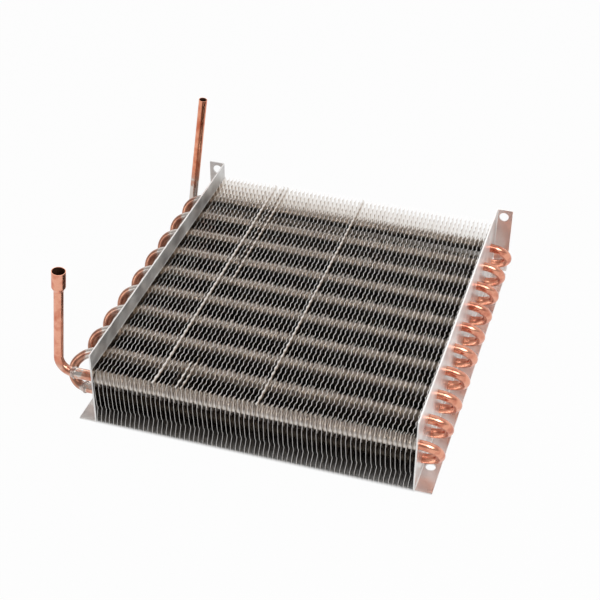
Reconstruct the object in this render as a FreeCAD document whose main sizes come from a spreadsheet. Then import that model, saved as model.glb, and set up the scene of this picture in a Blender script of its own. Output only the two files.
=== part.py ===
"""Finned condenser coil for a small refrigeration unit.

Two staggered rows of copper tube run from left to right through a pack of thin aluminium fins.
Air passes the pack from below to above. Hairpin tubes are pushed in from the right, so their
bends stand out there, and their belled ends stand out on the left, where return bends, the
inlet pipe and the outlet pipe are brazed into them. All twenty tubes make one circuit.

X runs along the tubes, Y across the face from the near edge to the far edge, Z up through the
two rows. The origin lies on the underside, midway between the bolt holes of the two feet.
All lengths are in millimetres and all angles in degrees.
"""

import FreeCAD, Part
import math
import os

import Sketcher
from FreeCAD import Placement, Rotation, Vector

doc = FreeCAD.newDocument("condenser_coil")


# Driving sizes

SIZES = {
    # Copper tubes and the pattern they run in
    "tube_diameter": 6.35,
    "tube_wall": 0.4,
    "tube_pitch": 25.4,
    "row_pitch": 22.0,
    "tubes_per_row": 10,
    "bend_inset": 0.4,
    # Belled tube ends on the left
    "stub_length": 5.5,
    "long_stub_length": 14.5,
    "bell_standoff": 0.6,
    "bell_taper": 1.2,
    "lip_length": 1.4,
    "lip_flare": 0.45,
    "joint_clearance": 0.06,
    # Return bends
    "tip_radius": 10.5,
    "bend_sweep": 6.9,
    # Fins
    "fin_thickness": 0.2,
    "fin_pitch": 3.17,
    "fins_at_pitch": 60,
    "crowded_pitch": 2.85,
    "crowded_fins": 8,
    "right_fin_gap": 3.0,
    "left_fin_gap": 0.85,
    "fin_lift": 0.1,
    "fin_hole_clearance": 0.02,
    # End plates
    "plate_thickness": 1.0,
    "plate_headroom": 11.7,
    "plate_margin": 0.3,
    "flange_width": 11.2,
    "fold_radius": 0.8,
    "corner_relief": 0.7,
    "plate_hole_clearance": 0.15,
    "foot_hole_diameter": 6.5,
    "foot_hole_setback": 23.8,
    "tab_hole_diameter": 7.0,
    "tab_hole_drop": 5.9,
    "bolt_hole_offset": 5.0,
    # Inlet and outlet pipes
    "pipe_wall": 0.6,
    "elbow_radius": 10.0,
    "inlet_reach": 10.6,
    "inlet_lean": 5.7,
    "inlet_rise": 68.9,
    "socket_bore": 8.05,
    "socket_depth": 12.0,
    "socket_taper": 3.0,
    "outlet_reach": 9.9,
    "outlet_lean": 7.3,
    "outlet_rise": 90.5,
}

sheet = doc.addObject("Spreadsheet::Sheet", "sizes")
for row, (name, value) in enumerate(SIZES.items(), start=1):
    sheet.set("A%d" % row, name)
    sheet.set("B%d" % row, str(value))
    sheet.setAlias("B%d" % row, name)
doc.recompute()

TUBES_PER_ROW = int(SIZES["tubes_per_row"])
FIN_COUNT = int(SIZES["fins_at_pitch"] + SIZES["crowded_fins"])
FIN_GROUPS = 4


# Sizes worked out from the driving ones, as expressions on the sheet

TUBE_R = "sizes.tube_diameter / 2"
BORE_R = "(sizes.tube_diameter / 2 - sizes.tube_wall)"
BELL_BORE_R = "(sizes.tube_diameter / 2 + sizes.joint_clearance)"
BELL_R = "(sizes.tube_diameter / 2 + sizes.joint_clearance + sizes.tube_wall)"
PIPE_BORE_R = "(sizes.tube_diameter / 2 - sizes.pipe_wall)"
STAGGER = "sizes.tube_pitch / 2"
BEND_R = "(sqrt(sizes.tube_pitch ^ 2 / 4 + sizes.row_pitch ^ 2) / 2)"
BEND_SLANT = "atan(sizes.tube_pitch / 2 / sizes.row_pitch)"
NEAR_Y = "(-sizes.foot_hole_setback)"
FIN_NEAR_Y = "(sizes.plate_margin - sizes.foot_hole_setback)"
FIN_DEPTH = "sizes.tubes_per_row * sizes.tube_pitch"
FIN_HEIGHT = "2 * sizes.row_pitch"
FIRST_TUBE_Y = "(sizes.plate_margin - sizes.foot_hole_setback + sizes.tube_pitch / 4)"
LOWER_ROW_Z = "(sizes.fin_lift + sizes.row_pitch / 2)"
UPPER_ROW_Z = "(sizes.fin_lift + sizes.row_pitch * 1.5)"
FIN_PACK = ("(sizes.fins_at_pitch * sizes.fin_pitch"
            " + (sizes.crowded_fins - 1) * sizes.crowded_pitch)")
PLATE_INNER_X = "((sizes.right_fin_gap + %s + sizes.left_fin_gap) / 2)" % FIN_PACK
PLATE_OUTER_X = "(%s + sizes.plate_thickness)" % PLATE_INNER_X
PLATE_EDGE_X = "(%s + sizes.flange_width)" % PLATE_OUTER_X
PLATE_HEIGHT = "(sizes.fin_lift + 2 * sizes.row_pitch + sizes.plate_headroom)"
PLATE_DEPTH = "(sizes.tubes_per_row * sizes.tube_pitch + 2 * sizes.plate_margin)"
FAR_Y = "(%s + %s)" % (NEAR_Y, PLATE_DEPTH)
BOLT_X = "(%s + sizes.bolt_hole_offset)" % PLATE_OUTER_X
BEND_X = "(%s - sizes.bend_inset)" % PLATE_OUTER_X
MOUTH_X = "(%s + sizes.stub_length)" % PLATE_OUTER_X
LONG_MOUTH_X = "(%s + sizes.long_stub_length)" % PLATE_OUTER_X
BELL_DEPTH = "(sizes.stub_length - sizes.bell_standoff - sizes.bell_taper)"
LONG_BELL_DEPTH = "(sizes.long_stub_length - sizes.bell_standoff - sizes.bell_taper)"


def value(expression):
    """The number that an expression on the sheet has now."""
    result = sheet.evalExpression(expression)
    return float(getattr(result, "Value", result))


# Helpers for bodies and sketches

def new_body(name):
    body = doc.addObject("PartDesign::Body", name)
    body.Label = name
    return body


def place(body, x, y, z, axis=None, angle=None):
    """Ties a body's place, and its turn about one axis, to the sheet."""
    if angle is not None:
        body.Placement = Placement(Vector(0, 0, 0), Rotation(axis, value(angle)))
        body.setExpression("Placement.Rotation.Angle", angle)
    body.setExpression("Placement.Base.x", x)
    body.setExpression("Placement.Base.y", y)
    body.setExpression("Placement.Base.z", z)


def origin_item(body, role):
    return next(item for item in body.Origin.OriginFeatures if item.Role == role)


def new_sketch(body, plane, name, offset=None, turn=None):
    """A sketch on one of the body's origin planes, moved along and turned about its normal."""
    sketch = body.newObject("Sketcher::SketchObject", name)
    sketch.AttachmentSupport = [(origin_item(body, plane), "")]
    sketch.MapMode = "FlatFace"
    if turn is not None:
        sketch.AttachmentOffset = Placement(Vector(0, 0, 0), Rotation(Vector(0, 0, 1), value(turn)))
        sketch.setExpression("AttachmentOffset.Rotation.Angle", turn)
    if offset is not None:
        sketch.setExpression("AttachmentOffset.Base.z", offset)
    return sketch


def pin_point(sketch, geometry, end, x, y):
    """Holds a point of the sketch at two expressions, measured from the sketch's origin."""
    for kind, axis, expression in (("DistanceX", -2, x), ("DistanceY", -1, y)):
        if expression == "0":
            sketch.addConstraint(Sketcher.Constraint("PointOnObject", geometry, end, axis))
            continue
        index = sketch.addConstraint(
            Sketcher.Constraint(kind, -1, 1, geometry, end, value(expression)))
        sketch.setExpression("Constraints[%d]" % index, expression)


def draw_outline(sketch, corners, rounding=None):
    """A closed outline of straight edges whose corners are pairs of expressions.

    rounding gives some corners a radius. The edges beside them run along the sketch's axes.
    """
    rounding = rounding or {}
    points = [Vector(value(x), value(y), 0) for x, y in corners]
    count = len(points)
    first = sketch.GeometryCount
    trims = [value(rounding.get(i, "0")) for i in range(count)]
    for i in range(count):
        following = (i + 1) % count
        along = (points[following] - points[i]).normalize()
        edge = sketch.addGeometry(Part.LineSegment(
            points[i] + along * trims[i], points[following] - along * trims[following]), False)
        if trims[i] or trims[following]:
            direction = "Horizontal" if abs(along.y) < 1e-9 else "Vertical"
            sketch.addConstraint(Sketcher.Constraint(direction, edge))
    for i, (x, y) in enumerate(corners):
        before = first + (i - 1) % count
        if i in rounding:
            round_corner(sketch, before, first + i, rounding[i])
        else:
            sketch.addConstraint(Sketcher.Constraint("Coincident", before, 2, first + i, 1))
            pin_point(sketch, first + i, 1, x, y)


def round_corner(sketch, before, after, radius):
    """Joins the ends of two edges at a right angle by an arc that is tangent to both."""
    start, end = sketch.Geometry[before].EndPoint, sketch.Geometry[after].StartPoint
    if abs(sketch.Geometry[before].StartPoint.y - start.y) < 1e-9:
        centre = Vector(start.x, end.y, 0)
    else:
        centre = Vector(end.x, start.y, 0)
    turns_left = (start - centre).cross(end - centre).z > 0
    low, high = (start, end) if turns_left else (end, start)
    low_angle = math.atan2(low.y - centre.y, low.x - centre.x)
    circle = Part.Circle(centre, Vector(0, 0, 1), value(radius))
    arc = sketch.addGeometry(Part.ArcOfCircle(circle, low_angle, low_angle + math.pi / 2), False)
    start_end, far_end = (1, 2) if turns_left else (2, 1)
    sketch.addConstraint(Sketcher.Constraint("Tangent", before, 2, arc, start_end))
    sketch.addConstraint(Sketcher.Constraint("Tangent", arc, far_end, after, 1))
    index = sketch.addConstraint(Sketcher.Constraint("Radius", arc, value(radius)))
    sketch.setExpression("Constraints[%d]" % index, radius)


def draw_circle(sketch, x, y, radius):
    centre = Vector(value(x), value(y), 0)
    circle = sketch.addGeometry(Part.Circle(centre, Vector(0, 0, 1), value(radius)), False)
    pin_point(sketch, circle, 3, x, y)
    index = sketch.addConstraint(Sketcher.Constraint("Radius", circle, value(radius)))
    sketch.setExpression("Constraints[%d]" % index, radius)


def draw_axis(sketch, y):
    """A construction line along the sketch's X at the height y, to revolve about."""
    height = value(y)
    line = sketch.addGeometry(Part.LineSegment(Vector(0, height, 0), Vector(10, height, 0)), True)
    sketch.addConstraint(Sketcher.Constraint("Horizontal", line))
    pin_point(sketch, line, 1, "0", y)
    sketch.addConstraint(Sketcher.Constraint("DistanceX", line, 1, line, 2, 10))


def pad(body, sketch, length, backwards=False):
    feature = body.newObject("PartDesign::Pad", "pad_" + sketch.Name)
    feature.Profile = sketch
    feature.Reversed = backwards
    feature.setExpression("Length", length)
    doc.recompute()
    return feature


def cut_through(body, sketch):
    """A pocket that goes all the way, to both sides of its sketch."""
    feature = body.newObject("PartDesign::Pocket", "cut_" + sketch.Name)
    feature.Profile = sketch
    feature.Type = "ThroughAll"
    feature.SideType = "Symmetric"
    before = body.Shape.Volume
    doc.recompute()
    if not feature.Shape.Volume < before:
        raise RuntimeError("%s cuts nothing" % feature.Name)
    return feature


def revolve(body, sketch, axis, angle="360", backwards=False):
    feature = body.newObject("PartDesign::Revolution", "turn_" + sketch.Name)
    feature.Profile = sketch
    feature.ReferenceAxis = (sketch, [axis])
    feature.Reversed = backwards
    feature.setExpression("Angle", angle)
    doc.recompute()
    return feature


# End plates: sheet folded outwards along the underside and at the far end

def end_plate(name, side):
    """side is 1 for the right plate and -1 for the left one, its mirror image."""
    sign = "" if side > 0 else "-"
    inner, outer, edge = (sign + x for x in (PLATE_INNER_X, PLATE_OUTER_X, PLATE_EDGE_X))
    body = new_body(name)

    inside_radius = "sizes.fold_radius"
    outside_radius = "(sizes.fold_radius + sizes.plate_thickness)"

    foot = new_sketch(body, "XZ_Plane", name + "_web_and_foot", offset="-" + NEAR_Y)
    draw_outline(foot, [
        (inner, "0"), (edge, "0"), (edge, "sizes.plate_thickness"),
        (outer, "sizes.plate_thickness"), (outer, PLATE_HEIGHT), (inner, PLATE_HEIGHT),
    ], rounding={0: outside_radius, 3: inside_radius})
    pad(body, foot, "%s - %s - sizes.corner_relief" % (PLATE_DEPTH, outside_radius),
        backwards=True)

    tab = new_sketch(body, "XY_Plane", name + "_web_and_tab",
                     offset=outside_radius + " + sizes.corner_relief")
    tab_front = "(%s - sizes.plate_thickness)" % FAR_Y
    web_start = "(%s - %s - 2 * sizes.corner_relief)" % (FAR_Y, outside_radius)
    draw_outline(tab, [
        (inner, web_start), (outer, web_start), (outer, tab_front),
        (edge, tab_front), (edge, FAR_Y), (inner, FAR_Y),
    ], rounding={2: inside_radius, 5: outside_radius})
    pad(body, tab, "%s - %s - sizes.corner_relief" % (PLATE_HEIGHT, outside_radius))

    holes = new_sketch(body, "YZ_Plane", name + "_first_tube_holes")
    hole_radius = TUBE_R + " + sizes.plate_hole_clearance"
    draw_circle(holes, FIRST_TUBE_Y, UPPER_ROW_Z, hole_radius)
    draw_circle(holes, "%s + %s" % (FIRST_TUBE_Y, STAGGER), LOWER_ROW_Z, hole_radius)
    first_pair = cut_through(body, holes)

    pairs = body.newObject("PartDesign::LinearPattern", name + "_tube_holes")
    pairs.Originals = [first_pair]
    pairs.Direction = (origin_item(body, "Y_Axis"), [""])
    pairs.setExpression("Length", "sizes.tube_pitch * (sizes.tubes_per_row - 1)")
    pairs.setExpression("Occurrences", "sizes.tubes_per_row")
    doc.recompute()
    body.Tip = pairs

    foot_hole = new_sketch(body, "XY_Plane", name + "_foot_hole")
    draw_circle(foot_hole, sign + BOLT_X, "0", "sizes.foot_hole_diameter / 2")
    cut_through(body, foot_hole)

    tab_hole = new_sketch(body, "XZ_Plane", name + "_tab_hole")
    draw_circle(tab_hole, sign + BOLT_X, PLATE_HEIGHT + " - sizes.tab_hole_drop",
                "sizes.tab_hole_diameter / 2")
    cut_through(body, tab_hole)
    return body


# Copper tubes

def draw_tube_section(sketch, x, y, bore_radius=BORE_R):
    draw_circle(sketch, x, y, TUBE_R)
    draw_circle(sketch, x, y, bore_radius)


def hairpin(number):
    """One tube bent double: the bend on the right, two legs with belled ends on the left.

    The stubs that take the two pipes are long, and so is the one beside the inlet's.
    """
    body = new_body("hairpin_%02d" % number)
    legs = [
        ("upper", BEND_R, number == 1),
        ("lower", "(-%s)" % BEND_R, number in (1, TUBES_PER_ROW)),
    ]
    for side, height, is_long in legs:
        stub = "sizes.long_stub_length" if is_long else "sizes.stub_length"
        leg = "(%s + %s + %s)" % (BEND_X, PLATE_OUTER_X, stub)
        lip = "(%s - sizes.lip_length)" % leg
        seat = "(%s - %s)" % (leg, LONG_BELL_DEPTH if is_long else BELL_DEPTH)
        shoulder = "(%s - sizes.bell_taper)" % seat
        section = new_sketch(body, "XZ_Plane", "%s_%s_leg" % (body.Name, side))
        draw_axis(section, height)
        profile = [
            ("0", BORE_R), ("0", TUBE_R), (shoulder, TUBE_R), (seat, BELL_R), (lip, BELL_R),
            (leg, BELL_R + " + sizes.lip_flare"), (leg, BELL_BORE_R + " + sizes.lip_flare"),
            (lip, BELL_BORE_R), (seat, BELL_BORE_R), (shoulder, BORE_R),
        ]
        draw_outline(section, [
            (x if x == "0" else "-" + x, "%s + %s" % (height, radius)) for x, radius in profile])
        revolve(body, section, "Axis0")
        if side == "upper":
            ring = new_sketch(body, "YZ_Plane", body.Name + "_bend")
            draw_tube_section(ring, "0", BEND_R)
            revolve(body, ring, "H_Axis", angle="180")
    place(body, BEND_X,
          "%s + %d * sizes.tube_pitch + %s / 2" % (FIRST_TUBE_Y, number - 1, STAGGER),
          "%s + sizes.row_pitch / 2" % LOWER_ROW_Z,
          axis=Vector(1, 0, 0), angle=BEND_SLANT)
    return body


def return_bend(number):
    """Joins the lower leg of one hairpin to the upper leg of the next, on the left.

    Its round tip is tighter than the tubes are spaced, so a wide arc leads to it from each
    bell. The first one meets the long stub below without such an arc. The body's origin is
    the centre of the tip.
    """
    body = new_body("return_bend_%02d" % number)
    is_first = number == 1
    if is_first:
        sweep = "(sizes.long_stub_length - sizes.stub_length)"
        height = "(2 * %s - sizes.tip_radius)" % BEND_R
        shift = "(%s - sizes.tip_radius)" % BEND_R
    else:
        sweep = "sizes.bend_sweep"
        height = BEND_R
        shift = "0"
    wide_radius = "((%s ^ 2 + %s ^ 2 - sizes.tip_radius ^ 2) / (2 * (%s - sizes.tip_radius)))" % (
        sweep, height, height)
    wide_angle = "asin(%s / (%s - sizes.tip_radius))" % (sweep, wide_radius)

    tip = new_sketch(body, "XY_Plane", body.Name + "_tip")
    draw_tube_section(tip, "-sizes.tip_radius", "0")
    upper_tip = revolve(body, tip, "V_Axis", angle="90 deg - " + wide_angle)
    mouth = new_sketch(body, "YZ_Plane", body.Name + "_upper_mouth", offset=sweep)
    draw_axis(mouth, "%s - %s" % (height, wide_radius))
    draw_tube_section(mouth, "0", height)
    wide_arc = revolve(body, mouth, "Axis0", angle=wide_angle, backwards=True)
    upper_leg = pad(body, mouth, BELL_DEPTH)

    if is_first:
        revolve(body, tip, "V_Axis", angle="90", backwards=True)
        lower_mouth = new_sketch(body, "YZ_Plane", body.Name + "_lower_mouth")
        draw_tube_section(lower_mouth, "0", "-sizes.tip_radius")
        pad(body, lower_mouth, LONG_BELL_DEPTH)
    else:
        lower_half = body.newObject("PartDesign::Mirrored", body.Name + "_lower_half")
        lower_half.Originals = [upper_tip, wide_arc, upper_leg]
        lower_half.MirrorPlane = (origin_item(body, "XY_Plane"), [""])
        doc.recompute()
        body.Tip = lower_half
    place(body, "-(%s + %s)" % (MOUTH_X, sweep),
          "%s + %d * sizes.tube_pitch + 1.5 * %s - %s * sin(%s)" % (
              FIRST_TUBE_Y, number - 1, STAGGER, shift, BEND_SLANT),
          "%s + sizes.row_pitch / 2 - %s * cos(%s)" % (LOWER_ROW_Z, shift, BEND_SLANT),
          axis=Vector(1, 0, 0), angle="-" + BEND_SLANT)
    return body


def connection_pipe(name, tube_y, tube_z, reach, lean, rise, with_socket):
    """A pipe out of a belled tube end that turns up and leans back over the coil.

    Its reach is how far the riser starts from the mouth of the bell.
    The body's own origin is the centre of its elbow, so the riser is drawn in a sketch that
    is turned by the lean. In that sketch the riser stands straight up.
    """
    body = new_body(name)
    riser_x = "-sizes.elbow_radius"
    run = "(%s - sizes.elbow_radius + %s)" % (reach, LONG_BELL_DEPTH)

    leg = new_sketch(body, "YZ_Plane", name + "_leg")
    draw_tube_section(leg, "0", riser_x, PIPE_BORE_R)
    pad(body, leg, run)

    ring = new_sketch(body, "YZ_Plane", name + "_elbow")
    draw_tube_section(ring, "0", riser_x, PIPE_BORE_R)
    revolve(body, ring, "H_Axis", angle="90 + " + lean)

    riser = new_sketch(body, "XZ_Plane", name + "_riser", turn="-" + lean)
    profile = [(PIPE_BORE_R, "0"), (TUBE_R, "0")]
    if with_socket:
        neck = "(%s - sizes.socket_depth - sizes.socket_taper)" % rise
        seat = "(%s - sizes.socket_depth)" % rise
        socket_r = "sizes.socket_bore / 2"
        socket_outer_r = "(sizes.socket_bore / 2 + sizes.pipe_wall)"
        profile += [(TUBE_R, neck), (socket_outer_r, seat), (socket_outer_r, rise),
                    (socket_r, rise), (socket_r, seat), (PIPE_BORE_R, neck)]
    else:
        profile += [(TUBE_R, rise), (PIPE_BORE_R, rise)]
    axis = riser.addGeometry(Part.LineSegment(
        Vector(value(riser_x), 0, 0), Vector(value(riser_x), 10, 0)), True)
    riser.addConstraint(Sketcher.Constraint("Vertical", axis))
    pin_point(riser, axis, 1, riser_x, "0")
    riser.addConstraint(Sketcher.Constraint("DistanceY", axis, 1, axis, 2, 10))
    draw_outline(riser, [("%s - %s" % (riser_x, radius), z) for radius, z in profile])
    revolve(body, riser, "Axis0")
    place(body, "-(%s + %s - sizes.elbow_radius)" % (LONG_MOUTH_X, reach), tube_y,
          "%s + sizes.elbow_radius" % tube_z)
    return body


# Fins: thin strips, each pierced for all the tubes

def fin_x(number):
    """The middle of a fin, counted from the right. The last few on the left sit closer."""
    even = min(number, int(SIZES["fins_at_pitch"]))
    crowded = number - even
    return "%s - sizes.right_fin_gap - %d * sizes.fin_pitch - %d * sizes.crowded_pitch" % (
        PLATE_INNER_X, even, crowded)


def fin_strip(number):
    strip = doc.addObject("Part::Box", "fin_%02d" % (number + 1))
    strip.setExpression("Length", "sizes.fin_thickness")
    strip.setExpression("Width", FIN_DEPTH)
    strip.setExpression("Height", FIN_HEIGHT)
    strip.setExpression("Placement.Base.x", fin_x(number) + " - sizes.fin_thickness / 2")
    strip.setExpression("Placement.Base.y", FIN_NEAR_Y)
    strip.setExpression("Placement.Base.z", "sizes.fin_lift")
    return strip


def tube_hole_rods():
    """One rod for each tube, as wide as its holes in the fins, to cut them all with."""
    rods = []
    for row_name, row_z, shift in (("upper", UPPER_ROW_Z, 0), ("lower", LOWER_ROW_Z, 1)):
        for number in range(TUBES_PER_ROW):
            rod = doc.addObject("Part::Cylinder", "%s_hole_rod_%02d" % (row_name, number + 1))
            rod.Placement = Placement(Vector(0, 0, 0), Rotation(Vector(0, 1, 0), 90))
            rod.setExpression("Radius", TUBE_R + " + sizes.fin_hole_clearance")
            rod.setExpression("Height", "2 * " + PLATE_INNER_X)
            rod.setExpression("Placement.Base.x", "-" + PLATE_INNER_X)
            rod.setExpression("Placement.Base.y", "%s + %d * sizes.tube_pitch + %d * %s" % (
                FIRST_TUBE_Y, number, shift, STAGGER))
            rod.setExpression("Placement.Base.z", row_z)
            rods.append(rod)
    bundle = doc.addObject("Part::Compound", "tube_hole_rods")
    bundle.Links = rods
    return bundle


def fin_group(index, rods):
    """A share of the fins, counted from the right end, as separate strips in one piece."""
    first = index * FIN_COUNT // FIN_GROUPS
    last = (index + 1) * FIN_COUNT // FIN_GROUPS
    strips = doc.addObject("Part::Compound", "fin_strips_%d" % (index + 1))
    strips.Links = [fin_strip(number) for number in range(first, last)]
    group = doc.addObject("Part::Cut", "fins_%d" % (index + 1))
    group.Label = "fins_%d" % (index + 1)
    group.Base = strips
    group.Tool = rods
    return group


# The coil

pieces = [end_plate("right_end_plate", 1), end_plate("left_end_plate", -1)]
pieces += [hairpin(number) for number in range(1, TUBES_PER_ROW + 1)]
pieces += [return_bend(number) for number in range(1, TUBES_PER_ROW)]
pieces.append(connection_pipe(
    "inlet_pipe", FIRST_TUBE_Y, UPPER_ROW_Z,
    "sizes.inlet_reach", "sizes.inlet_lean", "sizes.inlet_rise", with_socket=True))
pieces.append(connection_pipe(
    "outlet_pipe", "%s + (sizes.tubes_per_row - 0.5) * sizes.tube_pitch" % FIRST_TUBE_Y,
    LOWER_ROW_Z, "sizes.outlet_reach", "sizes.outlet_lean", "sizes.outlet_rise",
    with_socket=False))
hole_rods = tube_hole_rods()
pieces += [fin_group(index, hole_rods) for index in range(FIN_GROUPS)]
doc.recompute()


# Check every object, then write one file for each piece

for item in doc.Objects:
    if "Invalid" in item.State or "Error" in item.State:
        raise RuntimeError("%s did not compute" % item.Label)

os.makedirs("parts", exist_ok=True)
for piece in pieces:
    if piece.Shape.isNull() or not piece.Shape.isValid() or not piece.Shape.Solids:
        raise RuntimeError("%s has no sound shape" % piece.Label)
    piece.Shape.exportStep("parts/%s.step" % piece.Label)
    box = piece.Shape.BoundBox
    print("%-18s %2d solid(s) %9.1f mm3  x %.1f..%.1f  y %.1f..%.1f  z %.1f..%.1f" % (
        piece.Label, len(piece.Shape.Solids), piece.Shape.Volume,
        box.XMin, box.XMax, box.YMin, box.YMax, box.ZMin, box.ZMax))
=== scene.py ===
# %% [markdown]
# # A finned condenser coil
#
# The coil is a pack of thin aluminium fins between two bent sheet plates, with copper tube running
# through it from side to side. The solids of the plates and of all the copper come from the CAD
# model and only need their finishes here. The fins there are flat strips, so this lesson makes the
# real ones: rippled along their edges, a little bent by handling, with a collar round each tube.

import math

import bmesh
import bpy
from mathutils import Matrix, Vector, noise


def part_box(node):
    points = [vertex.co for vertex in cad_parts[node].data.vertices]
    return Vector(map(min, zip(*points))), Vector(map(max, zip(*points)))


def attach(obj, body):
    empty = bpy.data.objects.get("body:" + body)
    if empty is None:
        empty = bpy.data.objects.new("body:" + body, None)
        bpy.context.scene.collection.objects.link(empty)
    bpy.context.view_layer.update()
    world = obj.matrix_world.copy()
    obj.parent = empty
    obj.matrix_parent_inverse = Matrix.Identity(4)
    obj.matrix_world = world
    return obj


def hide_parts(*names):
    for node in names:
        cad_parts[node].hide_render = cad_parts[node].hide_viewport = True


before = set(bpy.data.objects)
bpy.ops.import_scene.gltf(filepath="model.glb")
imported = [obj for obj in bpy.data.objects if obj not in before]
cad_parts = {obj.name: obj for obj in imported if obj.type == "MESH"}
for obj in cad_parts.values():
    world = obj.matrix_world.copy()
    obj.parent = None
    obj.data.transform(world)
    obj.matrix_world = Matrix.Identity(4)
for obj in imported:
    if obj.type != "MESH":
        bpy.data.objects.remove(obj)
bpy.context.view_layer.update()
MM = 0.001

# %% [markdown]
# ## Helpers for materials
#
# Colours are written as the sRGB hex values that a screen shows, but shaders count in linear light,
# so one function turns them over. Another adds a node to a material, sets it up and links it, which
# keeps each finish below down to the nodes that matter. Every pattern reads the object's own
# coordinates. They are in metres, so a noise texture's scale is one over the size of its spots.

# %% Colour and node helpers
def linear(hex_colour):
    """The linear RGBA of an sRGB hex value such as "C98A6B"."""
    channels = [int(hex_colour[i:i + 2], 16) / 255 for i in (0, 2, 4)]
    light = [c / 12.92 if c <= 0.04045 else ((c + 0.055) / 1.055) ** 2.4 for c in channels]
    return (*light, 1.0)


def grey(level):
    return (level, level, level, 1.0)


def add_node(material, kind, inputs=None, stops=None, **settings):
    """Adds a node to a material or a world.

    An input is given a value, or the output socket of another node. A colour ramp is also given
    its stops, each a position and a linear colour.
    """
    node = material.node_tree.nodes.new(kind)
    for name, value in settings.items():
        setattr(node, name, value)
    for name, value in (inputs or {}).items():
        if isinstance(value, bpy.types.NodeSocket):
            material.node_tree.links.new(value, node.inputs[name])
        else:
            node.inputs[name].default_value = value
    if stops:
        elements = node.color_ramp.elements
        while len(elements) > 1:
            elements.remove(elements[-1])
        elements[0].position, elements[0].color = stops[0]
        for position, colour in stops[1:]:
            elements.new(position).color = colour
    return node


def new_material(name):
    """An empty material with its output node, and the object's own coordinates in metres."""
    material = bpy.data.materials.new(name)
    material.use_nodes = True
    material.node_tree.nodes.clear()
    output = add_node(material, "ShaderNodeOutputMaterial")
    coordinates = add_node(material, "ShaderNodeTexCoord").outputs["Object"]
    return material, output, coordinates


print("copper E3A085 in linear light:", [round(c, 3) for c in linear("E3A085")[:3]])

# %% [markdown]
# ## Mill-finished aluminium sheet
#
# The end plates are rolled aluminium sheet, cut and folded with no coating. Rolling leaves fine
# streaks along the sheet, and handling leaves faint dull smears. Two noise textures are enough for
# that: one stretched along the sheet for the streaks, and a plain one for the smears. Both mostly
# change how rough the metal is, so they show as a soft break in the reflections and not as paint.
# The left plate reflects less sharply in the photo, perhaps because it stood beside the torch, so
# its roughness is higher.

# %% Plate finish
# Real rolling streaks are finer than the picture shows, so they are drawn as wide as they need to
# be to show. These three sizes were chosen, and none was worked out from a real sheet.
STREAK_WIDTH = 0.385 * MM
STREAK_LENGTH = 38.5 * MM
SMEAR_SIZE = 16.7 * MM


def aluminium_sheet(name, dark, light, smooth, dull):
    """dark and light are the tints of the smears, smooth and dull the ends of the roughness."""
    material, output, at = new_material(name)
    finer, coarser = 1 / STREAK_WIDTH, 1 / STREAK_LENGTH
    along = add_node(material, "ShaderNodeMapping",
                     {"Vector": at, "Scale": (finer, coarser, finer)})
    streaks = add_node(material, "ShaderNodeTexNoise",
                       {"Vector": along.outputs["Vector"], "Scale": 1.0, "Detail": 3.0})
    smears = add_node(material, "ShaderNodeTexNoise",
                      {"Vector": at, "Scale": 1 / SMEAR_SIZE, "Detail": 5.0})
    mixed = add_node(material, "ShaderNodeMath",
                     {0: streaks.outputs["Fac"], 1: smears.outputs["Fac"]}, operation="ADD")
    rough = add_node(material, "ShaderNodeMapRange",
                     {"Value": mixed.outputs[0], "From Min": 0.7, "From Max": 1.3,
                      "To Min": smooth, "To Max": dull})
    tint = add_node(material, "ShaderNodeValToRGB", {"Fac": smears.outputs["Fac"]},
                    stops=[(0.35, linear(dark)), (0.65, linear(light))])
    bump = add_node(material, "ShaderNodeBump",
                    {"Height": streaks.outputs["Fac"], "Strength": 0.08, "Distance": 0.2 * MM})
    shader = add_node(material, "ShaderNodeBsdfPrincipled",
                      {"Base Color": tint.outputs["Color"], "Metallic": 1.0,
                       "Roughness": rough.outputs["Result"], "Normal": bump.outputs["Normal"]})
    material.node_tree.links.new(shader.outputs["BSDF"], output.inputs["Surface"])
    return material


plate_metal = aluminium_sheet("mill_finished_aluminium_sheet", "D9D7D5", "ECEAE8", 0.26, 0.46)
dull_metal = aluminium_sheet("heat_dulled_aluminium_sheet", "C8C6C4", "EDECEA", 0.38, 0.60)
print("made", plate_metal.name, "and", dull_metal.name)

# %% [markdown]
# ## Fin foil
#
# Fins are stamped from foil a fifth of a millimetre thick. Each face is close to a mirror when it
# is seen from a low angle, so the roughness is small, and it varies in patches, as a thin film of
# stamping oil would make it. The cut edges are rougher, and their tint is lighter as a painted
# highlight, so that the fin lines show bright. The collars are stretched metal and duller. The
# lower collars are rougher still, and their darker tint is painted shade: they lie deep in the
# pack, where little light reaches. One function makes all four.

# %% Fin finishes
PATCH_SIZE = 4.55 * MM  # chosen, not worked out from a real film of oil


def fin_foil(name, dark, light, roughness):
    material, output, at = new_material(name)
    patches = add_node(material, "ShaderNodeTexNoise",
                       {"Vector": at, "Scale": 1 / PATCH_SIZE, "Detail": 4.0})
    tint = add_node(material, "ShaderNodeValToRGB", {"Fac": patches.outputs["Fac"]},
                    stops=[(0.3, linear(dark)), (0.7, linear(light))])
    rough = add_node(material, "ShaderNodeMapRange",
                     {"Value": patches.outputs["Fac"], "From Min": 0.3, "From Max": 0.7,
                      "To Min": roughness - 0.03, "To Max": roughness + 0.05})
    shader = add_node(material, "ShaderNodeBsdfPrincipled",
                      {"Base Color": tint.outputs["Color"], "Metallic": 1.0,
                       "Roughness": rough.outputs["Result"]})
    material.node_tree.links.new(shader.outputs["BSDF"], output.inputs["Surface"])
    return material


foil = fin_foil("aluminium_fin_foil", "DCD6D0", "EBE6E1", 0.16)
# The cut edges are rougher, and their lighter tint is a painted highlight on the fin lines.
highlighted_cut_edge = fin_foil("highlight_tinted_aluminium_edge", "E2DEDA", "F2F0EE", 0.30)
clean_collar = fin_foil("aluminium_collar", "CDC5BE", "DED8D2", 0.38)
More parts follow.
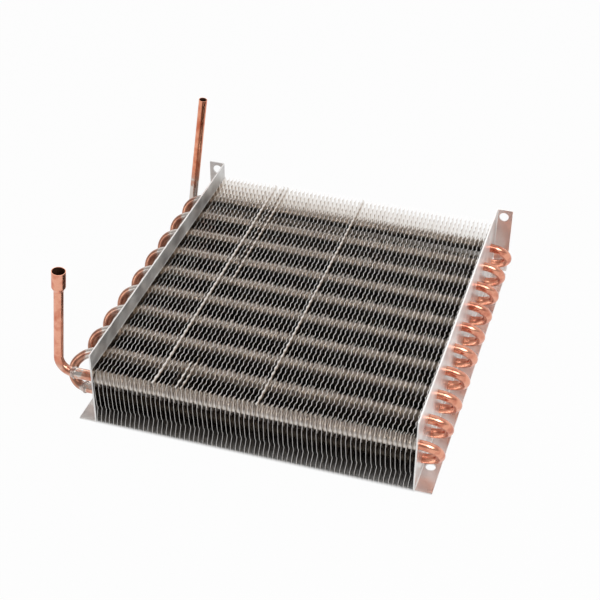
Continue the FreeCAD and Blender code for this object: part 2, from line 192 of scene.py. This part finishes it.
# The lower collars' darker tint is painted shade for the deep row that little light reaches.
shaded_lower_collar = fin_foil("shade_darkened_aluminium_collar", "7C746D", "968E87", 0.5)
print("made", ", ".join(m.name for m in (foil, highlighted_cut_edge, clean_collar, shaded_lower_collar)))

# %% [markdown]
# ## Painted shade in the bore of an open pipe
#
# Inside its open end a pipe lies in shade, while the same tube is bright outside. That shade is
# painted into the bore as a dark brown tint, with a rougher finish. The bore has no material slot
# of its own, so the finish finds it by its place. A Mapping node turns the coordinates until Z runs
# up the leaning pipe, and what lies nearer to that line than the pipe's wall does, just below the
# mouth, is the bore.

# %% Find the bore
SEEN_DEPTH = 10 * MM


def in_bore(material, at, mouth, lean, radius):
    """1 inside the open end of a leaning pipe, 0 elsewhere. Sizes in mm, the lean in degrees."""
    from_mouth = add_node(material, "ShaderNodeMapping",
                          {"Vector": at, "Location": [c * MM for c in mouth],
                           "Rotation": (0, math.radians(lean), 0)},
                          vector_type="TEXTURE").outputs["Vector"]
    across = add_node(material, "ShaderNodeVectorMath",
                      {0: from_mouth, 1: (1, 1, 0)}, operation="MULTIPLY")
    from_line = add_node(material, "ShaderNodeVectorMath",
                         {0: across.outputs["Vector"]}, operation="LENGTH")
    within = add_node(material, "ShaderNodeMath",
                      {0: from_line.outputs["Value"], 1: radius * MM}, operation="LESS_THAN")
    height = add_node(material, "ShaderNodeSeparateXYZ", {"Vector": from_mouth}).outputs["Z"]
    high = add_node(material, "ShaderNodeMath",
                    {0: height, 1: -SEEN_DEPTH}, operation="GREATER_THAN")
    return add_node(material, "ShaderNodeMath",
                    {0: within.outputs[0], 1: high.outputs[0]}, operation="MULTIPLY").outputs[0]


# Each pipe's mouth, its lean, and a radius between its bore's and its outside's.
INLET_BORE = ((-126.21, -17.15, 112.65), 5.7, 4.3)
OUTLET_BORE = ((-120.82, 224.15, 112.14), 7.3, 2.9)
print("bores darkened to", round(SEEN_DEPTH / MM), "mm below the mouth")

# %% [markdown]
# ## Drawn copper and its heat tint
#
# The tubes are bare drawn copper, salmon pink where it is clean. The torch that brazed the left
# side left the copper near each joint silvery grey with brown edges. That tint could be painted,
# but it only follows the distance from the flame, so it is a band along one axis of the object,
# broken up by noise so that it ends unevenly, as a real flame mark does. The return bends are
# tinted by their distance from the plate, and the two pipes by their height.

# %% Copper finish
# Real drawing marks are too fine for the picture to show, so the roughness varies over wider spots.
# Both sizes were chosen, and neither was worked out from a real tube.
MOTTLE_SIZE = 6.25 * MM
ROUGH_SPOT = 1.11 * MM
SCALE_BROWN, HOTTEST_GREY = "8A6050", "CDC3BC"
# Painted shade for the pipe bores: a dark brown, and a rougher finish there.
BORE_SHADE_BROWN = "6E4C3C"
BORE_ROUGHNESS = 0.6


def copper(name, axis, cold, hot, heated, clean, deep, bore=None):
    """cold and hot are places along an axis in metres, where the tint ends and where it is full."""
    material, output, at = new_material(name)
    place = add_node(material, "ShaderNodeSeparateXYZ", {"Vector": at}).outputs[axis]
    mottle = add_node(material, "ShaderNodeTexNoise",
                      {"Vector": at, "Scale": 1 / MOTTLE_SIZE, "Detail": 5.0})
    fine = add_node(material, "ShaderNodeTexNoise",
                    {"Vector": at, "Scale": 1 / ROUGH_SPOT, "Detail": 2.0})
    metal = add_node(material, "ShaderNodeValToRGB", {"Fac": mottle.outputs["Fac"]},
                     stops=[(0.3, linear(deep)), (0.55, linear(clean)), (0.75, linear(clean))])
    heat = add_node(material, "ShaderNodeMapRange",
                    {"Value": place, "From Min": cold, "From Max": hot,
                     "To Min": 0.0, "To Max": 1.0})
    uneven = add_node(material, "ShaderNodeMath",
                      {0: mottle.outputs["Fac"], 1: 0.9, 2: heat.outputs["Result"]},
                      operation="MULTIPLY_ADD")
    stain = add_node(material, "ShaderNodeValToRGB", {"Fac": uneven.outputs[0]},
                     stops=[(0.60, grey(0.0)), (0.85, grey(0.55)), (1.15, grey(1.0))])
    burnt = add_node(material, "ShaderNodeValToRGB", {"Fac": uneven.outputs[0]},
                     stops=[(0.70, linear(SCALE_BROWN)), (0.95, linear(heated)),
                            (1.0, linear(HOTTEST_GREY))])
    colour = add_node(material, "ShaderNodeMix",
                      {"Factor": stain.outputs["Color"], "A": metal.outputs["Color"],
                       "B": burnt.outputs["Color"]}, data_type="RGBA")
    rough = add_node(material, "ShaderNodeMapRange",
                     {"Value": fine.outputs["Fac"], "From Min": 0.3, "From Max": 0.7,
                      "To Min": 0.17, "To Max": 0.27})
    if bore:
        # Painted shade: the bore is tinted dark brown and made rougher.
        inside = in_bore(material, at, *bore)
        colour = add_node(material, "ShaderNodeMix",
                          {"Factor": inside, "A": colour.outputs["Result"],
                           "B": linear(BORE_SHADE_BROWN)}, data_type="RGBA")
        rough = add_node(material, "ShaderNodeMapRange",
                         {"Value": inside, "To Min": rough.outputs["Result"],
                          "To Max": BORE_ROUGHNESS})
    shader = add_node(material, "ShaderNodeBsdfPrincipled",
                      {"Base Color": colour.outputs["Result"], "Metallic": 1.0,
                       "Roughness": rough.outputs["Result"]})
    material.node_tree.links.new(shader.outputs["BSDF"], output.inputs["Surface"])
    return material


hairpin_copper = copper("drawn_copper_hairpin", "X", -0.100, -0.135,
                        heated="D9B6A4", clean="E3A085", deep="BF705A")
bend_copper = copper("drawn_copper_return_bend", "X", -0.131, -0.119,
                     heated="C4AA9E", clean="C08A72", deep="8F6152")
inlet_copper = copper("drawn_copper_inlet", "Z", 0.055, 0.005,
                      heated="DDBBA9", clean="E6A68C", deep="C9795F", bore=INLET_BORE)
outlet_copper = copper("drawn_copper_outlet", "Z", 0.060, 0.015,
                       heated="B3A196", clean="E39D7E", deep="C56E4F", bore=OUTLET_BORE)
print("made", ", ".join(m.name for m in (hairpin_copper, bend_copper, inlet_copper, outlet_copper)))

# %% [markdown]
# ## Silver braze
#
# The alloy that joins the tubes flows when the torch heats it and freezes lumpy and dull, with a
# little copper dissolved in it. One noise texture gives both its tint and its bumps, so that the
# thicker lumps come out paler too.

# %% Braze finish
LUMP_SIZE = 1.43 * MM  # about half the width of a fillet


def braze_alloy():
    material, output, at = new_material("silver_braze_alloy")
    lumps = add_node(material, "ShaderNodeTexNoise",
                     {"Vector": at, "Scale": 1 / LUMP_SIZE, "Detail": 3.0})
    tint = add_node(material, "ShaderNodeValToRGB", {"Fac": lumps.outputs["Fac"]},
                    stops=[(0.35, linear("94807A")), (0.65, linear("CFBFB6"))])
    bump = add_node(material, "ShaderNodeBump",
                    {"Height": lumps.outputs["Fac"], "Strength": 0.4, "Distance": 0.3 * MM})
    shader = add_node(material, "ShaderNodeBsdfPrincipled",
                      {"Base Color": tint.outputs["Color"], "Metallic": 1.0, "Roughness": 0.32,
                       "Normal": bump.outputs["Normal"]})
    material.node_tree.links.new(shader.outputs["BSDF"], output.inputs["Surface"])
    return material


braze_metal = braze_alloy()
print("made", braze_metal.name, "with", len(braze_metal.node_tree.nodes), "nodes")

# %% [markdown]
# ## Finishes on the CAD solids
#
# The plates, hairpins, return bends and pipes already have their real shapes, so each solid keeps
# its mesh and only gets a finish in its own material slots.

# %% Give the solids their finishes
FINISHES = {"right_end_plate": plate_metal, "left_end_plate": dull_metal, "hairpin": hairpin_copper,
            "return_bend": bend_copper, "inlet_pipe": inlet_copper, "outlet_pipe": outlet_copper}

for node_name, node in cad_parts.items():
    for start, material in FINISHES.items():
        if node_name.startswith(start):
            for slot in node.material_slots:
                slot.material = material
            print(node_name, "is", material.name)

# %% [markdown]
# ## Where the fins stand
#
# The fins are evenly spaced except for the last few on the left, which stand closer in the photo.
# The pitches and counts below are those of the CAD model, and the edges are read from it. The
# tubes run in two staggered rows, four ripples of the fin from one to the next.

# %% Fin places
FIN_PITCH = 3.17 * MM
CROWDED_PITCH = 2.85 * MM
FINS_AT_PITCH = 60
FIN_COUNT = 68
FIN_THICKNESS = 0.2 * MM
TUBE_PITCH = 25.4 * MM
ROW_PITCH = 22.0 * MM
TUBES_PER_ROW = 10

fin_low, fin_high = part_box("fins_1")
LAST_FIN_X = fin_high[0] - FIN_THICKNESS / 2
NEAR_Y, FAR_Y = fin_low[1], fin_high[1]
BOTTOM_Z, TOP_Z = fin_low[2], fin_high[2]


def fin_x(number):
    """The middle of a fin, counted from the right."""
    even = min(number, FINS_AT_PITCH)
    return LAST_FIN_X - even * FIN_PITCH - (number - even) * CROWDED_PITCH


# Where each tube runs: upper and lower row in turn, from the near edge to the far one.
tube_lines = []
for i in range(TUBES_PER_ROW):
    first_y = NEAR_Y + TUBE_PITCH / 4 + i * TUBE_PITCH
    tube_lines.append((first_y, BOTTOM_Z + 1.5 * ROW_PITCH))
    tube_lines.append((first_y + TUBE_PITCH / 2, BOTTOM_Z + 0.5 * ROW_PITCH))
print("fins from", round(fin_x(FIN_COUNT - 1) / MM, 1), "to", round(fin_x(0) / MM, 1), "mm,",
      "tubes:", len(tube_lines))

# %% [markdown]
# ## The shape of one fin
#
# A die ripples the fin's long edges to stiffen them: four waves to a tube pitch, which fade within
# a few millimetres of the edge. In the photo the near edges lean to one side, and it is taken that
# they do so less and less further in. And no fin is quite flat. A displacement texture could do
# this, but small functions of a point's place say the sizes plainly: each one returns how far that
# point of the fin moves to the right.

# %% Ripple, lean and wander
RIPPLE_WAVE = TUBE_PITCH / 4
RIPPLE_HEIGHT = 0.42 * MM
RIPPLE_FADE = 1.7 * MM
LEAN_DEPTH = 7 * MM
WANDER = 0.35 * MM
WANDER_LENGTH = 40 * MM
WANDER_HEIGHT = 30 * MM
UNLIKE_NEIGHBOUR = 3.7  # a step through the noise that leaves two neighbours unlike

# How far the near edge stands to the right, in mm, at each height above the fin's underside.
NEAR_EDGE = [(0, -0.2), (2, -0.25), (4, -0.3), (6, 0.15), (8, 0.6), (10, 0.7), (11.5, 0.85),
             (12.5, 1.15), (13.5, 1.1), (15, 0.55), (16, 0.45), (22, 0.2), (25, 0.0), (28, -0.1),
             (33, 0.1), (38, -0.7), (41.5, -0.75), (44, -0.8)]


def between(table, place):
    """Reads a table of (place, value) pairs with straight lines between them."""
    for (a, low), (b, high) in zip(table, table[1:]):
        if place <= b:
            return low + (high - low) * max(0.0, place - a) / (b - a)
    return table[-1][1]


def ripple(y, z):
    from_edge = min(z - BOTTOM_Z, TOP_Z - z)
    fade = math.exp(-from_edge / RIPPLE_FADE) * min(1.0, (y - NEAR_Y) / (RIPPLE_WAVE / 2))
    return -RIPPLE_HEIGHT * fade * math.cos(2 * math.pi * (y - NEAR_Y) / RIPPLE_WAVE)


def near_edge_lean(y, z):
    inwards = math.exp(-(y - NEAR_Y) / LEAN_DEPTH)
    return between(NEAR_EDGE, (z - BOTTOM_Z) / MM) * MM * inwards


def wander(number, y, z):
    """Each fin's own slight waviness."""
    place = Vector((number * UNLIKE_NEIGHBOUR, y / WANDER_LENGTH, z / WANDER_HEIGHT))
    return noise.noise(place) * WANDER


print("ripple:", round(RIPPLE_WAVE / MM, 2), "mm long and", 2 * RIPPLE_HEIGHT / MM, "mm high")

# %% [markdown]
# ## Fins bent by handling
#
# A few fins had their top lip bent over. A lip that leans to the left faces the light, so it shows
# as a bright streak across the pack, and without these streaks the pack looks drawn and not made.
# Each bent fin has its own entry in a table. The outermost fin on the left is bent deeper.

# %% Bent tops
# Fin, counted from the right: where the bend starts and ends behind the near edge, and its lean.
BENT_TOPS = {31: (0, 254, -1.2), 47: (0, 30, -0.9), 48: (0, 26, -1.2), 49: (0, 22, -0.6),
             50: (120, 254, -1.0), 51: (150, 254, -0.9), 53: (0, 254, -1.2), 67: (0, 254, -0.9)}
LIP_HEIGHT = 1.1
DEEPER_LIPS = {67: 3.5}
BEND_RUNOUT = 6  # mm over which a bend starts and ends


def bent_top(number, y, z):
    if number not in BENT_TOPS:
        return 0.0
    start, end, lean = BENT_TOPS[number]
    depth = (y - NEAR_Y) / MM
    started = min(1.0, max(0.0, (depth - start) / BEND_RUNOUT + 1))
    not_ended = min(1.0, max(0.0, (end - depth) / BEND_RUNOUT + 1))
    lip = DEEPER_LIPS.get(number, LIP_HEIGHT) * MM
    return lean * MM * started * not_ended * max(0.0, 1 - (TOP_Z - z) / lip)


print("bent fins:", sorted(BENT_TOPS))

# %% [markdown]
# ## Making the fins
#
# Each fin is one flat grid. It is stood up, and its rows are spaced closer near the edges, where
# the shape changes most. Then the functions above move its points. The other side and the cut rim
# need no modelling: a Solidify modifier gives the sheet its thickness and puts the rim finish, with
# its painted highlight, on the rim, and an Edge Split modifier keeps the shading of faces and rim
# apart. Fins go into pieces of 17, each of which stands in for one node of the CAD model.

# %% Build the fin pack
ROW_HEIGHTS = [0, 1, 2.2, 5, 9.5, 11, 12.5, 13.5, 15, 19, 28, 33, 38, 40.5, 42, 43, 44]
ROWS = len(ROW_HEIGHTS) - 1
SAMPLES_PER_WAVE = 4
COLUMNS = round((FAR_Y - NEAR_Y) / RIPPLE_WAVE) * SAMPLES_PER_WAVE
FINS_PER_PIECE = 17
CLOSEST_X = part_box("left_end_plate")[1][0] + 0.65 * FIN_THICKNESS  # clear of the left plate
CRISP_ANGLE = math.radians(50)


def add_fin(bm, number):
    grid = bmesh.ops.create_grid(bm, x_segments=COLUMNS, y_segments=ROWS, size=0.5)
    for vert in grid["verts"]:
        y = NEAR_Y + (vert.co.x + 0.5) * (FAR_Y - NEAR_Y)
        z = BOTTOM_Z + ROW_HEIGHTS[round((vert.co.y + 0.5) * ROWS)] * MM
        x = fin_x(number) + ripple(y, z) + near_edge_lean(y, z) + wander(number, y, z)
        vert.co = (max(x + bent_top(number, y, z), CLOSEST_X), y, z)


def new_piece(name, bm, material):
    """Puts a bmesh into the scene as a smooth piece with one material."""
    mesh = bpy.data.meshes.new(name)
    bm.to_mesh(mesh)
    bm.free()
    mesh.materials.append(material)
    for polygon in mesh.polygons:
        polygon.use_smooth = True
    piece = bpy.data.objects.new(name, mesh)
    bpy.context.collection.objects.link(piece)
    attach(piece, "root")
    return piece


for group in range(FIN_COUNT // FINS_PER_PIECE):
    bm = bmesh.new()
    for number in range(group * FINS_PER_PIECE, (group + 1) * FINS_PER_PIECE):
        add_fin(bm, number)
    bmesh.ops.recalc_face_normals(bm, faces=bm.faces)
    sheets = new_piece("rippled_fins_%d" % (group + 1), bm, foil)
    # The rim takes the second finish, whose lighter tint is a painted highlight.
    sheets.data.materials.append(highlighted_cut_edge)
    thickness = sheets.modifiers.new("sheet_thickness", "SOLIDIFY")
    thickness.thickness = FIN_THICKNESS
    thickness.offset = 0.0
    thickness.material_offset_rim = 1
    crisp = sheets.modifiers.new("crisp_cut_edges", "EDGE_SPLIT")
    crisp.split_angle = CRISP_ANGLE
    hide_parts("fins_%d" % (group + 1))
print("fins:", FIN_COUNT, "of", COLUMNS, "x", ROWS, "faces")

# %% [markdown]
# ## Collars
#
# Each hole in a fin is drawn out into a collar that reaches the next fin. The collars grip the tube
# and set the spacing, so between the fins one sees aluminium and not copper, and they make the
# light bands across the pack. A collar for each of the 1,360 holes would be slow to place one by
# one. But along a tube they all touch, so one tube's collars are a single profile, flared where
# each collar leaves its fin and curled at its tip, spun about the tube. Twelve sides are enough,
# because a collar is seen only through the narrow gaps. The two rows are two pieces, so that the
# lower one can be rougher and carry a darker tint of painted shade.

# %% Build the collars
COLLAR_RADIUS = 4.0 * MM
# In mm along the tube and out from the collar: its tip from the fin on its right, and its root
# from the fin on its left.
TIP = [(0.0, 0.7), (-0.5, 0.15), (-1.1, 0.0)]
FLARE = [(0.8, 0.3), (0.3, 1.1), (0.0, 2.5)]
COLLAR_SIDES = 12
PLATE_INNER_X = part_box("right_end_plate")[0][0]


def collar_profile():
    """From the right plate, which the first fin's collar reaches, to the last fin."""
    points = []
    for number in range(-1, FIN_COUNT - 1):
        right = min(fin_x(number), PLATE_INNER_X)
        left = fin_x(number + 1)
        points += [(right + x * MM, COLLAR_RADIUS + r * MM) for x, r in TIP]
        points += [(left + x * MM, COLLAR_RADIUS + r * MM) for x, r in FLARE]
    return points


def spin_about_tube(bm, profile, tube_y, tube_z, sides):
    """Spins a profile of (x, radius) points once round a tube."""
    verts = [bm.verts.new((x, tube_y, tube_z + radius)) for x, radius in profile]
    edges = [bm.edges.new(pair) for pair in zip(verts, verts[1:])]
    bmesh.ops.spin(bm, geom=verts + edges, cent=(0, tube_y, tube_z), axis=(1, 0, 0),
                   angle=2 * math.pi, steps=sides, use_merge=True)


# The lower row's finish carries painted shade in its darker tint.
COLLAR_ROWS = [(0, "upper_collars", clean_collar), (1, "lower_collars", shaded_lower_collar)]
for first, name, material in COLLAR_ROWS:
    bm = bmesh.new()
    for tube_y, tube_z in tube_lines[first::2]:
        spin_about_tube(bm, collar_profile(), tube_y, tube_z, COLLAR_SIDES)
    bmesh.ops.recalc_face_normals(bm, faces=bm.faces)
    # The recalculation leaves these open rows of collars facing the tube, so they are turned
    # round to face outwards.
    bmesh.ops.reverse_faces(bm, faces=bm.faces)
    collars = new_piece(name, bm, material)
    print(name, "faces:", len(collars.data.polygons))

# %% [markdown]
# ## Braze
#
# The bends and pipes sit in the belled tube ends, and silver braze runs into each joint and leaves
# a small uneven fillet round its mouth. Each fillet is a short profile spun about its tube, like
# the collars, and then pushed out unevenly, because a bump in the finish would not show on its
# outline. Three tube ends are longer than the rest, and their mouths are read from the CAD model.

# %% Build the braze fillets
LONG_MOUTH_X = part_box("hairpin_01")[0][0]
MOUTH_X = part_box("hairpin_02")[0][0]
LONG_TUBES = (0, 1, 2 * TUBES_PER_ROW - 1)
# In mm to the right of the mouth, and out from the middle of the tube.
FILLET = [(0.9, 3.9), (0.1, 4.12), (-0.4, 3.95), (-1.1, 3.5), (-2.0, 3.2)]
FILLET_SIDES = 24
UNEVENNESS = 0.04  # a share of the radius
BULGE_SIZE = 2.5 * MM

bm = bmesh.new()
for number, (tube_y, tube_z) in enumerate(tube_lines):
    mouth_x = LONG_MOUTH_X if number in LONG_TUBES else MOUTH_X
    profile = [(mouth_x + x * MM, r * MM) for x, r in FILLET]
    spin_about_tube(bm, profile, tube_y, tube_z, FILLET_SIDES)
bmesh.ops.recalc_face_normals(bm, faces=bm.faces)
for vert in bm.verts:
    tube_y, tube_z = min(tube_lines,
                         key=lambda line: (line[0] - vert.co.y) ** 2 + (line[1] - vert.co.z) ** 2)
    outwards = Vector((0, vert.co.y - tube_y, vert.co.z - tube_z))
    vert.co += outwards * UNEVENNESS * (1 + noise.noise(vert.co / BULGE_SIZE))
braze = new_piece("braze_fillets", bm, braze_metal)

# %% [markdown]
# ## The white floor
#
# The coil stands on a white surface that runs out of view. Lit white enough to vanish, such a floor
# would also light the coil from below. So the camera, and any surface that mirrors the floor, sees
# it glow white, while for all other light it is a plain mid grey. Under the coil the glow fades
# out, so that the shadow stays, and so do the dark gaps that the fins mirror.

# %% Floor
FLOOR_HALF = 6.0
FLOOR_Z = -0.2 * MM
FLOOR_GREY = 0.4
MOST_GLOW = 0.97
# The shaded patch under the coil: its middle, half its size, and where the glow is back in full.
PATCH_MIDDLE_Y = 118.5 * MM
PATCH_HALF = (107 * MM, 140 * MM, 0)
PATCH_FADE = 3 * MM


def shown_directly(material):
    """1 where the camera or a mirror looks straight at the backdrop, 0 where it gives light."""
    path = add_node(material, "ShaderNodeLightPath")
    undiffused = add_node(material, "ShaderNodeMath",
                          {0: path.outputs["Diffuse Depth"], 1: 0.5}, operation="LESS_THAN")
    mirrored = add_node(material, "ShaderNodeMath",
                        {0: undiffused.outputs[0], 1: path.outputs["Is Glossy Ray"]},
                        operation="MULTIPLY")
    return add_node(material, "ShaderNodeMath",
                    {0: mirrored.outputs[0], 1: path.outputs["Is Camera Ray"]}, operation="MAXIMUM")


def outside_patch(material, at):
    """0 on the shaded patch, rising to the full glow a little way outside it."""
    centred = add_node(material, "ShaderNodeMapping",
                       {"Vector": at, "Location": (0, -PATCH_MIDDLE_Y, 0)})
    apart = add_node(material, "ShaderNodeVectorMath",
                     {0: centred.outputs["Vector"]}, operation="ABSOLUTE")
    past = add_node(material, "ShaderNodeVectorMath",
                    {0: apart.outputs["Vector"], 1: PATCH_HALF}, operation="SUBTRACT")
    past = add_node(material, "ShaderNodeVectorMath",
                    {0: past.outputs["Vector"], 1: (0, 0, 0)}, operation="MAXIMUM")
    distance = add_node(material, "ShaderNodeVectorMath",
                        {0: past.outputs["Vector"]}, operation="LENGTH")
    return add_node(material, "ShaderNodeMapRange",
                    {"Value": distance.outputs["Value"], "From Min": 0.0, "From Max": PATCH_FADE,
                     "To Min": 0.0, "To Max": MOST_GLOW})


def white_floor():
    material, output, at = new_material("white_backdrop")
    plain = add_node(material, "ShaderNodeBsdfDiffuse", {"Color": grey(FLOOR_GREY)})
    glow = add_node(material, "ShaderNodeEmission", {"Color": grey(1.0), "Strength": 1.0})
    share = add_node(material, "ShaderNodeMath",
                     {0: shown_directly(material).outputs[0],
                      1: outside_patch(material, at).outputs["Result"]}, operation="MULTIPLY")
    white = add_node(material, "ShaderNodeMixShader",
                     {0: share.outputs[0], 1: plain.outputs[0], 2: glow.outputs[0]})
    material.node_tree.links.new(white.outputs[0], output.inputs["Surface"])
    return material


bm = bmesh.new()
bmesh.ops.create_grid(bm, x_segments=1, y_segments=1, size=FLOOR_HALF)
floor_mesh = bpy.data.meshes.new("floor")
bm.to_mesh(floor_mesh)
bm.free()
floor_mesh.materials.append(white_floor())
floor = bpy.data.objects.new("floor", floor_mesh)
floor.location.z = FLOOR_Z
bpy.context.collection.objects.link(floor)
print("floor:", 2 * FLOOR_HALF, "m wide")

# %% [markdown]
# ## The room
#
# Fins are mirrors from here, so the room matters as much as the lamps. What lies behind the coil is
# white, as the background is. Towards the camera and overhead the room gets darker, as a real one
# does, and that gives the fins and the copper their dark sides. Diffuse surfaces only get an even
# half light from it, so the room's white never washes out the colours.

# %% Room
WHITE_FROM, DARK_FROM = 0.7, -0.1  # how far a direction points along +Y
DARK_WALL, WHITE_WALL = 0.42, 1.0
EVEN_LIGHT = 0.5

world = bpy.data.worlds.new("studio")
bpy.context.scene.world = world
world.use_nodes = True
world.node_tree.nodes.clear()
direction = add_node(world, "ShaderNodeTexCoord").outputs["Generated"]
away = add_node(world, "ShaderNodeSeparateXYZ", {"Vector": direction}).outputs["Y"]
walls = add_node(world, "ShaderNodeMapRange",
                 {"Value": away, "From Min": DARK_FROM, "From Max": WHITE_FROM,
                  "To Min": DARK_WALL, "To Max": WHITE_WALL})
level = add_node(world, "ShaderNodeMix",
                 {"Factor": shown_directly(world).outputs[0], "A": EVEN_LIGHT,
                  "B": walls.outputs["Result"]})
sky = add_node(world, "ShaderNodeBackground",
               {"Color": grey(1.0), "Strength": level.outputs["Result"]})
add_node(world, "ShaderNodeOutputWorld", {"Surface": sky.outputs[0]})
print("room from", DARK_WALL, "to", WHITE_WALL)

# %% [markdown]
# ## Lamps
#
# Four large soft boxes light the coil. The key stands high on the right, because a lamp straight
# in front would light the lower collars through the gaps, and those are dark on the real coil.
# A weak one over the front picks out the fin edges, one on the left fills the shadows of the
# pipes, and one from behind draws bright lines on the tops of the bends.

# %% Lamps
COIL_MIDDLE = (0.0, 0.1, 0.03)
LAMPS = [  # name, place and size in metres, power in watts
    ("key_from_right", (1.1, -0.45, 1.0), (0.8, 0.8), 15),
    ("over_the_front", (0.42, -0.55, 1.32), (0.6, 0.5), 3),
    ("fill_from_left", (-1.2, -0.7, 0.7), (0.8, 0.8), 3),
    ("from_behind", (-0.35, 1.25, 0.95), (0.9, 0.5), 1.6),
]

for name, place, size, power in LAMPS:
    light = bpy.data.lights.new(name, "AREA")
    light.shape = "RECTANGLE"
    light.size, light.size_y = size
    light.energy = power
    lamp = bpy.data.objects.new(name, light)
    lamp.location = place
    aim = Vector(COIL_MIDDLE) - Vector(place)
    lamp.rotation_euler = aim.to_track_quat("-Z", "Y").to_euler()
    bpy.context.collection.objects.link(lamp)
    print(name, power, "W at", round(aim.length, 2), "m")

# %% [markdown]
# ## Camera
#
# The camera stands where the photograph was taken from. Its place, angles and lens were worked out
# together from the straight edges of the plates and fins. Light goes from fin to fin many times
# before it leaves the pack, so mirrors are followed for 12 bounces, where 4 would leave the gaps
# black.

# %% Camera
AZIMUTH, ELEVATION, ROLL = (math.radians(a) for a in (16.905, 35.808, 0.559))
CAMERA_PLACE = (0.2236, -0.65304, 0.60478)
LENS, SENSOR_WIDTH = 83.67, 36.0  # mm
NEAREST_SEEN = 0.05
MIRROR_BOUNCES = 12

back = Vector((math.sin(AZIMUTH) * math.cos(ELEVATION),
               -math.cos(AZIMUTH) * math.cos(ELEVATION), math.sin(ELEVATION)))
right = Vector((math.cos(AZIMUTH), math.sin(AZIMUTH), 0))
up = back.cross(right)
rolled_right = right * math.cos(ROLL) + up * math.sin(ROLL)
rolled_up = up * math.cos(ROLL) - right * math.sin(ROLL)
turn = Matrix((rolled_right, rolled_up, back)).transposed().to_4x4()

camera_data = bpy.data.cameras.new("camera")
camera_data.lens = LENS
camera_data.sensor_width = SENSOR_WIDTH
camera_data.clip_start = NEAREST_SEEN
camera = bpy.data.objects.new("camera", camera_data)
camera.matrix_world = Matrix.Translation(CAMERA_PLACE) @ turn
bpy.context.collection.objects.link(camera)
bpy.context.scene.camera = camera
bpy.context.scene.view_settings.view_transform = "Standard"
bpy.context.scene.cycles.glossy_bounces = MIRROR_BOUNCES
print("camera", round((Vector(CAMERA_PLACE) - Vector(COIL_MIDDLE)).length, 2), "m from the coil")
